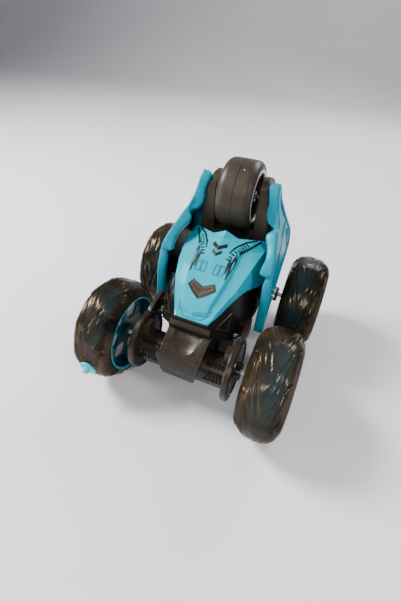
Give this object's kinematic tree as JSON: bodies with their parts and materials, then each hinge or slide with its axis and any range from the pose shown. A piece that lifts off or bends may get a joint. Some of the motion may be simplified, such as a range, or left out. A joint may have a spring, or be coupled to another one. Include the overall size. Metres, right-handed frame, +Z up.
{
  "type": "rc stunt car",
  "caption": "Radio controlled stunt car with inflated smoky tyres, a faceted blue hood, swept side panels and a raised free-spinning wheel between two rear arms.",
  "frame": {"origin": "on the floor under the middle of the car, halfway between the axles", "axes": "+Z up; the nose faces -Y; +X is on the right as seen from in front of the car, and left and right in the names are as seen from there"},
  "size_m": [0.205, 0.22, 0.19],
  "materials": {
    "tyre_film": "glossy translucent",
    "rim_blue": "glossy",
    "plug_blue": "satin",
    "nylon": "satin",
    "bronze_black": "glossy",
    "motor_can": "satin",
    "steel": "bright",
    "casing_black": "satin",
    "hood_blue": "glossy",
    "bronze_trim": "satin",
    "arm_brown": "satin",
    "panel_blue": "satin",
    "battery_wrap": "satin",
    "board_green": "satin",
    "slick_rubber": "satin",
    "chrome_ring": "polished"
  },
  "bodies": {
    "chassis": {"motor_fl": "motor_can", "motor_fr": "motor_can", "motor_rl": "motor_can", "motor_rr": "motor_can", "front_axle_cover": "bronze_black", "front_axle_tray": "bronze_black", "rear_axle_cover": "bronze_black", "rear_axle_tray": "bronze_black", "body_casing": "casing_black", "hood": "hood_blue", "hood_emblem": "bronze_trim", "lip_strip": "bronze_black", "rear_cover": "casing_black", "arm_left": "arm_brown", "arm_right": "arm_brown", "side_panel_left": "panel_blue", "side_panel_right": "panel_blue", "panel_brackets": "casing_black", "battery_tub": "casing_black", "battery_door": "casing_black", "switch_body": "motor_can", "battery_pack": "battery_wrap", "receiver_board": "board_green", "panel_screws": "steel", "belly_screws": "steel", "flange_screws": "steel", "fifth_pin": "steel"},
    "wheel_fl": {"tyre_fl": "tyre_film", "rim_fl": "rim_blue", "inflation_plug_fl": "plug_blue", "wheel_shaft_fl": "nylon", "hub_cap_fl": "bronze_black", "drive_gear_fl": "nylon"},
    "rotor_fl": {"motor_pinion_fl": "steel"},
    "wheel_fr": {"tyre_fr": "tyre_film", "rim_fr": "rim_blue", "inflation_plug_fr": "plug_blue", "wheel_shaft_fr": "nylon", "hub_cap_fr": "bronze_black", "drive_gear_fr": "nylon"},
    "rotor_fr": {"motor_pinion_fr": "steel"},
    "wheel_rl": {"tyre_rl": "tyre_film", "rim_rl": "rim_blue", "inflation_plug_rl": "plug_blue", "wheel_shaft_rl": "nylon", "hub_cap_rl": "bronze_black", "drive_gear_rl": "nylon"},
    "rotor_rl": {"motor_pinion_rl": "steel"},
    "wheel_rr": {"tyre_rr": "tyre_film", "rim_rr": "rim_blue", "inflation_plug_rr": "plug_blue", "wheel_shaft_rr": "nylon", "hub_cap_rr": "bronze_black", "drive_gear_rr": "nylon"},
    "rotor_rr": {"motor_pinion_rr": "steel"},
    "switch": {"switch_knob": "casing_black"},
    "fifth_wheel": {"fifth_tyre": "slick_rubber", "fifth_rim": "casing_black", "fifth_barrel": "casing_black", "fifth_trim_rings": "chrome_ring"}
  },
  "joints": [
    {"name": "wheel_fl_spin", "type": "hinge", "parent": "chassis", "child": "wheel_fl", "pos_m": [-0.078, -0.06, 0.05], "axis": [1, 0, 0], "continuous": true},
    {"name": "rotor_fl_spin", "type": "hinge", "parent": "chassis", "child": "rotor_fl", "pos_m": [-0.038, -0.0651, 0.04094], "axis": [1, 0, 0], "continuous": true},
    {"name": "wheel_fr_spin", "type": "hinge", "parent": "chassis", "child": "wheel_fr", "pos_m": [0.078, -0.06, 0.05], "axis": [1, 0, 0], "continuous": true},
    {"name": "rotor_fr_spin", "type": "hinge", "parent": "chassis", "child": "rotor_fr", "pos_m": [0.038, -0.0651, 0.04094], "axis": [1, 0, 0], "continuous": true},
    {"name": "wheel_rl_spin", "type": "hinge", "parent": "chassis", "child": "wheel_rl", "pos_m": [-0.082, 0.06, 0.05], "axis": [1, 0, 0], "continuous": true},
    {"name": "rotor_rl_spin", "type": "hinge", "parent": "chassis", "child": "rotor_rl", "pos_m": [-0.038, 0.0651, 0.04094], "axis": [1, 0, 0], "continuous": true},
    {"name": "wheel_rr_spin", "type": "hinge", "parent": "chassis", "child": "wheel_rr", "pos_m": [0.082, 0.06, 0.05], "axis": [1, 0, 0], "continuous": true},
    {"name": "rotor_rr_spin", "type": "hinge", "parent": "chassis", "child": "rotor_rr", "pos_m": [0.038, 0.0651, 0.04094], "axis": [1, 0, 0], "continuous": true},
    {"name": "fifth_wheel_spin", "type": "hinge", "parent": "chassis", "child": "fifth_wheel", "pos_m": [0, 0.058, 0.158], "axis": [1, 0, 0], "continuous": true},
    {"name": "power_switch_slide", "type": "slide", "parent": "chassis", "child": "switch", "axis": [0, 1, 0], "range_m": [0, 0.003]}
  ],
  "couplings": [
    {"joint": "rotor_fl_spin", "follows": "wheel_fl_spin", "ratio": -3.3333},
    {"joint": "rotor_fr_spin", "follows": "wheel_fr_spin", "ratio": -3.3333},
    {"joint": "rotor_rl_spin", "follows": "wheel_rl_spin", "ratio": -3.3333},
    {"joint": "rotor_rr_spin", "follows": "wheel_rr_spin", "ratio": -3.3333}
  ]
}
